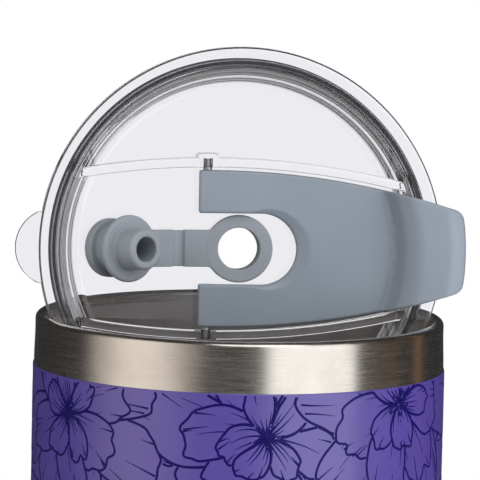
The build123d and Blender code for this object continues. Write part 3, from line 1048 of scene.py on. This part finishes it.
    def build(self) -> None:
        """Make and dress the clear moulding and its gasket."""
        tools = [
            (cut, add_mesh(f"tool_{index}", self.at.place(grid)))
            for index, (cut, grid) in enumerate(self.tools())
        ]
        lid = worked(add_mesh("clear_lid", self.at.place(self.disc())), tools)
        finished(lid, CLEAR_COPOLYESTER, Body.LID, ("lid_body",))
        gasket = add_mesh("lid_sealing_ring", self.at.place(self.gasket()))
        # The gasket's dark grey finish is painted shade for the dark band seen through the clear flange.
        finished(gasket, GASKET_PAINTED_SHADE, Body.LID, ("lid_gasket",))


# ---------------------------------------------------------------- lever


@dataclass
class FlipLever:
    """U-shaped lever that lies in the dish and rises over the flange to its finger tip."""

    at: LidPlace
    half: float = 17.37
    side_r: float = 175.0
    side_centre_u: float = -5.0
    end_u: float = -9.1
    tip_u: float = 49.7
    tip_bulge_r: float = 60.0
    tip_corner_r: float = 4.5
    slot_half: float = 7.85
    slot_end_u: float = 4.8
    hinge: tuple[float, float] = (-7.2, -5.7)
    knuckle_r: float = 1.9
    edge_r: float = 0.55
    scoop: tuple[float, float, float] = (6.3, 8.9, 1.0)

    def top_profile(self) -> np.ndarray:
        """Height of the top face against distance from the lid's middle."""
        return rounded([
            (0, -3.8, 0), (34.4, -3.8, 0.9), (36.4, -0.1, 1.4), (39.4, 2.4, 3.0), (46.9, 2.68, 2.2),
            (50.4, 0.9, 0),
        ], 10)

    def under_profile(self) -> np.ndarray:
        """Height of the underside against distance from the lid's middle."""
        return rounded([
            (0, -6.0, 0), (34.6, -6.0, 2.0), (39.9, 0.55, 1.6), (50.2, 0.55, 0),
        ], 8)

    def upper_half(self) -> tuple[np.ndarray, np.ndarray]:
        """Matching points on the slot's edge and on the outer edge, from arm end to middle.

        The outer edge is an arc of radius side_r, a corner arc and a flat bulge at the tip; the
        slot's edge is a straight and a quarter circle.
        """
        centre = np.array([self.side_centre_u, self.half - self.side_r])
        u = np.linspace(self.end_u, self.tip_u, 500)
        side = np.column_stack([u, centre[1] + np.sqrt(self.side_r**2 - (u - centre[0]) ** 2)])
        bulge_v = np.linspace(12, 0, 200)
        bulge_centre = self.tip_u - self.tip_bulge_r
        bulge = np.column_stack([bulge_centre + np.sqrt(self.tip_bulge_r**2 - bulge_v**2), bulge_v])
        gap = np.linalg.norm(side[:, None] - bulge[None], axis=-1)
        on_side, on_bulge = np.unravel_index(gap.argmin(), gap.shape)
        corner = side[on_side]
        path = rounded(np.vstack([
            np.append(side[0], 0), np.append(side[on_side - 60], 0), np.append(corner, self.tip_corner_r),
            np.append(bulge[min(on_bulge + 60, 198)], 0), np.append(bulge[-1], 0),
        ]), 14)
        keep_side, keep_bulge = side[: on_side - 60], bulge[min(on_bulge + 60, 198) :]
        outer = np.vstack([keep_side, path[2:-2], keep_bulge])
        length = np.concatenate([[0], np.cumsum(np.linalg.norm(np.diff(outer, axis=0), axis=1))])
        split = float(np.interp(self.slot_end_u + 2.5, outer[: len(keep_side), 0], length[: len(keep_side)]))
        arm, rest = np.linspace(0, split, 24, endpoint=False), np.linspace(split, length[-1], 90)
        stations = np.concatenate([arm, rest])
        outer = np.column_stack([np.interp(stations, length, outer[:, axis]) for axis in (0, 1)])
        straight = np.column_stack([np.linspace(self.end_u, self.slot_end_u, 24, endpoint=False),
                                    np.full(24, self.slot_half)])
        turn = np.linspace(math.pi / 2, 0, 90)
        round_end = np.array([self.slot_end_u, 0]) + self.slot_half * on_circle(turn)
        return np.vstack([straight, round_end]), outer

    def edges(self) -> tuple[np.ndarray, np.ndarray]:
        """Whole slot edge and whole outer edge, the lower half mirrored from the upper."""
        inner, outer = self.upper_half()
        mirror = np.array([1, -1])
        return np.vstack([inner, inner[-2::-1] * mirror]), np.vstack([outer, outer[-2::-1] * mirror])

    def heights(self, plan: np.ndarray) -> tuple[np.ndarray, np.ndarray]:
        """Top and bottom height at plan points.

        Both follow the profiles by distance from the middle. The top is scooped out round the slot's
        end, and the bottom drops round the hinge axis to make the knuckles.
        """
        distance = np.hypot(plan[..., 0], plan[..., 1])
        top = np.interp(distance, *self.top_profile().T)
        bottom = np.interp(distance, *self.under_profile().T)
        scoop_u, scoop_r, depth = self.scoop
        from_scoop = np.hypot(plan[..., 0] - scoop_u, plan[..., 1])
        top = top - depth * np.clip((scoop_r - from_scoop) / 2.4, 0, 1) ** 0.8
        from_hinge = plan[..., 0] - self.hinge[0]
        knuckle = self.hinge[1] - np.sqrt(np.maximum(self.knuckle_r**2 - from_hinge**2, 0))
        near = from_hinge < self.knuckle_r
        return top, np.where(near, np.minimum(bottom, knuckle), bottom)

    def solid(self) -> Grid:
        """Skin the lever: a loop of points across it, carried from one arm's end to the other's.

        Across, the loop runs along the top from slot edge to outer edge and back underneath. Both
        edges are rounded: the plan moves in by r (1 - cos a) and the height drops by r (1 - sin a).
        """
        inner, outer = self.edges()
        roll = np.radians([0, 22.5, 45, 67.5, 90])
        moves, drops = self.edge_r * (1 - np.cos(roll)), self.edge_r * (1 - np.sin(roll))
        out_dir, in_dir = self.normals(outer), self.normals(inner)
        across = np.linspace(0, 1, 46)[1:-1]
        first = inner + in_dir * self.edge_r
        last = outer - out_dir * self.edge_r
        columns = [inner + in_dir * move for move in moves]
        columns += [first + (last - first) * share for share in across]
        columns += [outer - out_dir * move for move in moves[::-1]]
        plan = np.stack(columns, 1)
        drop = np.concatenate([drops, np.zeros(len(across)), drops[::-1]])
        top, bottom = self.heights(plan)
        ring = np.concatenate([
            np.concatenate([plan, (top - drop)[..., None]], -1),
            np.concatenate([plan, (bottom + drop)[..., None]], -1)[:, ::-1],
        ], 1)
        ring = self.with_round_ends(ring)
        rows, count = ring.shape[:2]
        ends = np.vstack([np.arange(count)[::-1], (rows - 1) * count + np.arange(count)])
        return ring.reshape(-1, 3), [loop_faces(rows, count, False, True), ends]

    def with_round_ends(self, ring: np.ndarray) -> np.ndarray:
        """Round the arms' ends: the end loops shrink by r (1 - cos a) and step in by r (1 - sin a)."""
        radius = 0.45
        roll = np.radians([0, 30, 60, 90])
        caps = []
        for loop in (ring[0], ring[-1]):
            middle = (loop.min(0) + loop.max(0)) / 2
            half = (loop.max(0) - loop.min(0)) / 2
            half[0] = 1
            layers = []
            for angle in roll:
                shrink = 1 - radius * (1 - math.sin(angle)) / half
                moved = middle + (loop - middle) * shrink
                moved[:, 0] = self.end_u + radius * (1 - math.cos(angle))
                layers.append(moved)
            caps.append(np.stack(layers))
        start, end = caps
        keep = ring[1:-1][(ring[1:-1, 0, 0] > self.end_u + radius + 0.05)]
        return np.concatenate([start, keep, end[::-1]])

    def normals(self, path: np.ndarray) -> np.ndarray:
        """Unit normals to the left of a path in plan, which lead away from the slot."""
        along = np.gradient(path, axis=0)
        normal = np.column_stack([-along[:, 1], along[:, 0]])
        return normal / np.linalg.norm(normal, axis=1)[:, None]

    def seal(self) -> Grid:
        """Stopper under the lever: a pad, a stem for the drink opening and a lip round it."""
        length, width = 7.0 - 0.8, 14.0 - 0.8
        floor = -10.4
        layers = [
            (length - 0.9, width - 0.9, 1.8, floor - 1.1), (length - 0.3, width - 0.3, 2.0, floor - 0.95),
            (length, width, 2.1, floor - 0.6), (length, width, 2.1, floor + 0.4),
            (length + 2.6, width + 2.6, 3.5, floor + 0.45), (length + 3.2, width + 3.2, 3.6, floor + 0.65),
            (length + 3.2, width + 3.2, 3.6, floor + 1.1), (length + 2.8, width + 2.8, 3.5, floor + 1.25),
            (length, width, 2.1, floor + 1.35), (length, width, 2.1, -7.0), (8.6, 15.6, 3.0, -6.95),
            (8.6, 15.6, 3.0, -6.02),
        ]
        return pile(layers, (28.5, 0))

    def pin(self, side: int) -> Grid:
        """Hinge pin with chamfered ends."""
        low, high = sorted((side * 13.0, side * 19.8))
        chamfer = 0.2
        section = np.array([
            (0, low), (1.0 - chamfer, low), (1.0, low + chamfer), (1.0, high - chamfer),
            (1.0 - chamfer, high), (0, high),
        ])
        points, faces = turned(section, 40)
        return points[:, [0, 2, 1]] + np.array([self.hinge[0], 0, self.hinge[1]]), faces

    def build(self) -> None:
        """Make and dress the lever, its stopper and its pins."""
        lever = add_mesh("flip_lever_moulding", self.at.place(self.solid()), 40)
        finished(lever, LEVER_PLASTIC, Body.LEVER, ("flip_lever",))
        seal = add_mesh("drink_opening_stopper", self.at.place(self.seal()))
        finished(seal, GREY_SILICONE, Body.LEVER, ("lever_seal",))
        for name, side in (("upper", 1), ("lower", -1)):
            pin = add_mesh(f"lever_pin_{name}", self.at.place(self.pin(side)))
            finished(pin, PIN_STEEL, Body.LEVER, (f"hinge_pin_{name}",))


# ---------------------------------------------------------------- straw seal


@dataclass
class StrawSeal:
    """Silicone ring, strap and hollow plug, which are one moulding."""

    at: LidPlace
    ring_top: float = -5.7
    ring_r: float = 7.5
    bore_r: float = 4.65
    fold: tuple[float, float] = (-13.4, -5.6)
    park_angle: float = 35.0
    strap_half: float = 4.1
    strap_t: float = 1.5
    web_t: float = 0.55
    web_half: float = 1.45
    plug_r: float = 7.4

    def ring(self) -> Grid:
        """Grommet: a flange on the boss, a waist through the floor and a flange behind it."""
        back = -12.5
        top = self.ring_top
        return turned(closed_outline([
            (self.bore_r, back - 1.3, 0.3), (5.6, back - 1.3, 0.4), (7.0, back - 0.1, 0.3),
            (5.55, back - 0.1, 0.1), (5.55, top - 1.5, 0.1), (self.ring_r, top - 1.5, 0.25),
            (self.ring_r, top, 0.45), (self.bore_r, top, 0.3),
        ]), 160)

    def plug(self) -> Grid:
        """Plug, parked: knob, waist, flange and a hollow neck with a rolled end."""
        section = rounded([
            (0, -8.9, 0), (6.5, -8.9, 1.0), (6.5, -6.2, 0.4), (5.0, -6.1, 0.4), (5.0, -1.7, 1.1),
            (self.plug_r, -1.7, 0.75), (self.plug_r, -0.1, 0.65), (4.55, -0.1, 0.5), (4.6, 2.6, 2.0),
            (4.5, 5.5, 1.25), (2.75, 5.5, 0.4), (2.7, -6.0, 0.3), (0, -6.0, 0),
        ], 8)
        points, faces = turned(section, 144)
        return self.folded(points + np.array([self.fold[0], 0, 0]), 1.0), faces

    def folded(self, flat: np.ndarray, share: np.ndarray | float) -> np.ndarray:
        """Turn flat points about the fold by a share of the parking angle.

        Args:
            flat: points as they lie with the strap flat, about the fold axis.
            share: part of the angle, one for all points or one each.

        Returns:
            The points in the lid's axes: u' = u cos a + w sin a, w' = w cos a - u sin a.
        """
        angle = math.radians(self.park_angle) * share
        u, w = flat[:, 0], flat[:, 2]
        return np.column_stack([
            self.fold[0] + u * np.cos(angle) + w * np.sin(angle), flat[:, 1],
            self.fold[1] - u * np.sin(angle) + w * np.cos(angle),
        ])

    def strap(self) -> Grid:
        """Strap from ring to plug: a rounded bar with a thin web, bent about the fold.

        Along it, the thickness drops to the web between two smooth steps, and the width grows along a
        tangent arc at the ring. Each cross-section turns by an eased share of the parking angle.
        """
        along = np.concatenate([
            np.linspace(7.45, 2.2, 30), np.linspace(2.1, -2.1, 36), np.linspace(-2.2, -7.2, 18),
        ])
        web_edge, web_ease = 0.75, 0.8
        web = smooth_step((np.abs(along) - web_edge) / web_ease)
        low = -0.1 - self.web_t - 0.35 - (self.strap_t - self.web_t - 0.35) * web
        high = -0.14 - 0.34 * (1 - web)
        fillet_r, fillet_start = 1.5, 6.36
        into = np.clip(along - fillet_start, 0, fillet_r)
        fillet = fillet_r - np.sqrt(fillet_r**2 - into**2)
        half = self.strap_half + fillet - 0.12 * (1 - web)
        corner = 0.28
        turn = np.radians([0, 30, 60, 90])
        unit = corner * np.vstack([
            on_circle(turn + quarter) for quarter in (0, math.pi / 2, math.pi, 3 * math.pi / 2)
        ])
        side = np.repeat([1, -1, -1, 1], 4)
        upper = np.repeat([1, 1, 0, 0], 4)
        v = side * (half[:, None] - corner) + unit[:, 0]
        w = np.where(upper, high[:, None] - corner, low[:, None] + corner) + unit[:, 1]
        rows, count = v.shape
        u = np.broadcast_to(along[:, None], v.shape)
        share = smooth_step((self.web_half - along) / (2 * self.web_half))
        flat = np.stack([u, v, w], -1).reshape(-1, 3)
        points = self.folded(flat, np.repeat(share, count))
        return points, pile_faces(rows, count)

    def build(self) -> None:
        """Make and dress the ring, the plug and the strap between them, bent at the parking angle."""
        ring = add_mesh("straw_hole_ring", self.at.place(self.ring()))
        finished(ring, GREY_SILICONE, Body.LID, ("straw_grommet",))
        points, faces = self.plug()
        plug = add_mesh("straw_hole_plug", self.at.place((points, faces)))
        finished(plug, GREY_SILICONE, Body.PLUG, ("straw_plug",))
        strap = add_mesh("straw_seal_strap", self.at.place(self.strap()))
        angle = math.radians(self.park_angle)
        start = self.at.point(self.fold[0] + self.web_half, 0, self.fold[1])
        end = self.at.point(self.fold[0] - self.web_half * math.cos(angle), 0,
                            self.fold[1] + self.web_half * math.sin(angle))
        finished(strap, GREY_SILICONE, None)
        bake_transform(strap)


# ---------------------------------------------------------------- stage, light and camera


@dataclass
class Studio:
    """Pale floor, soft light and the camera."""

    rim_z: float
    distance: float = 1.2
    azimuth: float = -4.8
    elevation: float = 6.8
    roll: float = 1.25
    aside: float = 0.0003
    room_light: float = 0.5
    room_shine: float = 0.03
    view_width: float = 0.1057

    def floor(self) -> None:
        """Round pale floor just under the foot."""
        turn = np.linspace(0, 2 * math.pi, 128, endpoint=False)
        radii = np.array([0.02, 0.2, 0.5])[:, None]
        points = np.stack([radii * np.cos(turn), radii * np.sin(turn), np.full((3, 128), -0.0002)], -1)
        grid = (points.reshape(-1, 3), [loop_faces(3, 128, False, True), np.arange(128)[None]])
        floor = add_mesh("studio_floor", grid)
        card = Finish("floor_card", "#F2F2F2", 0.6, grain_mm=(3, 3, 3), grain_depth=0.02)
        floor.data.materials.append(card.make())

    def world(self) -> None:
        """White surround; what shines off the object sees a dim room, and what shines through the
        lid sees white ahead and behind that dims towards the sides."""
        world = bpy.data.worlds.new("studio")
        bpy.context.scene.world = world
        world.use_nodes = True
        tree = world.node_tree
        tree.nodes.clear()
        path = add_node(tree, "ShaderNodeLightPath")
        place = add_node(tree, "ShaderNodeTexCoord")
        parts = add_node(tree, "ShaderNodeSeparateXYZ", inputs={0: place.outputs["Generated"]})
        ahead = add_node(tree, "ShaderNodeMath", {"operation": "ABSOLUTE"}, {0: parts.outputs["Y"]})
        level = self.room_light
        through = mapped(tree, ahead.outputs[0], (0.50, 0.88), (0.10, 1.0), eased=True)
        for ray, seen in (("Glossy", self.room_shine), ("Transmission", through), ("Camera", 1.0)):
            level = add_node(tree, "ShaderNodeMix", {"data_type": "FLOAT"}, {
                0: path.outputs[f"Is {ray} Ray"], 2: level, 3: seen}).outputs[0]
        background = add_node(
            tree, "ShaderNodeBackground", inputs={"Color": (1, 1, 1, 1), "Strength": level}
        )
        add_node(tree, "ShaderNodeOutputWorld", inputs={"Surface": background.outputs[0]})

    def panel(
        self, name: str, azimuth: float, height: float, distance: float, size: tuple[float, float],
        radiance: float, colour: str = "#FFFFFF", fade: tuple[float, float] = (0.02, 0.02),
        mirrored: bool = True,
    ) -> None:
        """Rectangular soft light that faces the rim, fading out towards its two sides.

        Args:
            name: the light's name.
            azimuth: degrees round from the camera's side, positive to the right.
            height: metres above the rim.
            distance: metres from the axis.
            size: width and height in metres.
            radiance: brightness seen in a mirror; the power is pi x area x radiance.
            colour: sRGB hex.
            fade: share of the width over which each side fades.
            mirrored: whether it shows in reflections.
        """
        data = bpy.data.lights.new(name, "AREA")
        data.shape = "RECTANGLE"
        data.size, data.size_y = size
        data.energy = math.pi * size[0] * size[1] * radiance
        data.color = linear(colour)[:3]
        data.use_nodes = True
        tree = data.node_tree
        tree.nodes.clear()
        place = add_node(tree, "ShaderNodeNewGeometry")
        parts = add_node(tree, "ShaderNodeSeparateXYZ", inputs={0: place.outputs["Parametric"]})
        rises = [
            mapped(tree, parts.outputs["X"], side, eased=True)
            for side in ((0.0, fade[0]), (1.0, 1.0 - fade[1]))
        ]
        both = add_node(tree, "ShaderNodeMath", {"operation": "MULTIPLY"}, {0: rises[0], 1: rises[1]})
        glow = add_node(tree, "ShaderNodeEmission", inputs={"Strength": both.outputs[0]})
        add_node(tree, "ShaderNodeOutputLight", inputs={"Surface": glow.outputs[0]})
        light = bpy.data.objects.new(name, data)
        light.visible_camera = False
        light.visible_transmission = False
        light.visible_glossy = mirrored
        turn = math.radians(azimuth)
        target = Vector((0, 0, self.rim_z))
        light.location = target + Vector((distance * math.sin(turn), -distance * math.cos(turn), height))
        light.rotation_mode = "QUATERNION"
        light.rotation_quaternion = (target - light.location).to_track_quat("-Z", "Y")
        bpy.context.scene.collection.objects.link(light)

    def lights(self) -> None:
        """Panels to the left, right and above, two brown cards, and a fill that isn't mirrored."""
        self.panel("left_panel", -61, 0.05, 0.9, (1.62, 1.3), 1.1, "#FFF7EC", (0.5, 0.5))
        self.panel("right_panel", 35, 0.05, 0.9, (0.95, 1.3), 1.42, fade=(0.15, 0.02))
        self.panel("brown_card", 84, 0.0, 0.9, (0.62, 1.2), 0.08, "#C8925F", (0.3, 0.3))
        self.panel("brown_strip", 113, 0.0, 0.9, (0.16, 1.2), 0.35, "#D09A68", (0.4, 0.4))
        self.panel("top_panel", 10, 0.9, 0.8, (0.9, 0.6), 2.2)
        self.panel("right_fill", 62, 0.0, 1.1, (0.8, 1.2), 1.8, mirrored=False)

    def camera(self) -> None:
        """Camera a little to the left and above, rolled by a degree."""
        turn, rise = math.radians(self.azimuth), math.radians(self.elevation)
        back = Vector((math.sin(turn) * math.cos(rise), -math.cos(turn) * math.cos(rise), math.sin(rise)))
        data = bpy.data.cameras.new("camera")
        data.sensor_width = 36.0
        data.lens = 36.0 * self.distance / self.view_width
        data.clip_start, data.clip_end = 0.05, 20.0
        camera = bpy.data.objects.new("camera", data)
        right = Vector((math.cos(turn), math.sin(turn), 0))
        target = Vector((0, 0, self.rim_z + 0.0166)) - right * self.aside
        camera.location = target + back * self.distance
        camera.rotation_mode = "QUATERNION"
        aim = (-back).to_track_quat("-Z", "Y").to_matrix()
        camera.rotation_quaternion = (aim @ Matrix.Rotation(math.radians(self.roll), 3, "Z")).to_quaternion()
        bpy.context.scene.collection.objects.link(camera)
        bpy.context.scene.camera = camera

    def build(self) -> None:
        """Set up the whole studio."""
        bpy.context.scene.view_settings.view_transform = "Standard"
        self.floor()
        self.world()
        self.lights()
        self.camera()


def main() -> None:
    """Build every class in order."""
    logging.basicConfig(level=logging.INFO, format="%(message)s")
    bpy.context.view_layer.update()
    rim_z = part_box("inner_liner")[1].z
    lid_place = LidPlace.from_frame(frame["record"])
    cup = Tumbler(height=rim_z / MM)
    cup.build()
    FlowerPrint(cup).build()
    ClearLid(lid_place).build()
    FlipLever(lid_place).build()
    StrawSeal(lid_place).build()
    Studio(rim_z).build()


if __name__ == "__main__":
    main()
